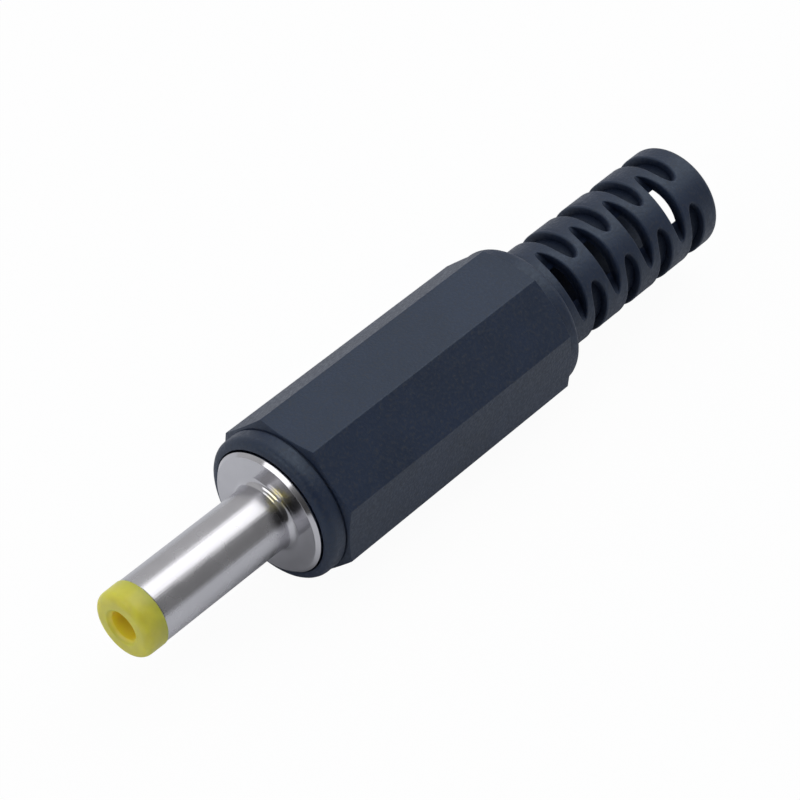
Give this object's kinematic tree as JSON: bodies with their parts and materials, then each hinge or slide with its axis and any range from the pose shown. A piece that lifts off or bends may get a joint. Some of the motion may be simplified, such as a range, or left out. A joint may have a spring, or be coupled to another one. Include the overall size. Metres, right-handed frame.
{
  "type": "dc barrel plug",
  "caption": "Solder-type low-voltage power plug with an insulated yellow tip, a polished flange and a black octagonal screw-on cover that ends in a slotted strain relief.",
  "frame": {"origin": "centre of the flange's front face, on the plug's axis", "axes": "+X along the plug's axis towards its tip, +Z out of the cover's top flat, away from the flat that it lies on"},
  "size_m": [0.047, 0.0092, 0.0092],
  "materials": {
    "nickel_plate": "polished nickel plating on turned brass",
    "yellow_tip": "satin moulded, slightly translucent",
    "contact_brass": "turned brass",
    "bush_plastic": "pressed phenolic",
    "tinned_sheet": "tinned sheet",
    "black_cover": "finely textured moulding"
  },
  "bodies": {
    "plug": {"shell": "nickel_plate", "tip_insulator": "yellow_tip", "centre_contact": "contact_brass", "front_bush": "bush_plastic", "rear_bush": "bush_plastic", "outer_terminal": "tinned_sheet", "centre_terminal": "tinned_sheet"},
    "cover": {"cover": "black_cover"}
  },
  "joints": [
    {"name": "cover_slide", "type": "slide", "parent": "plug", "child": "cover", "axis": [-1, 0, 0], "range_m": [0, 0.02]}
  ]
}
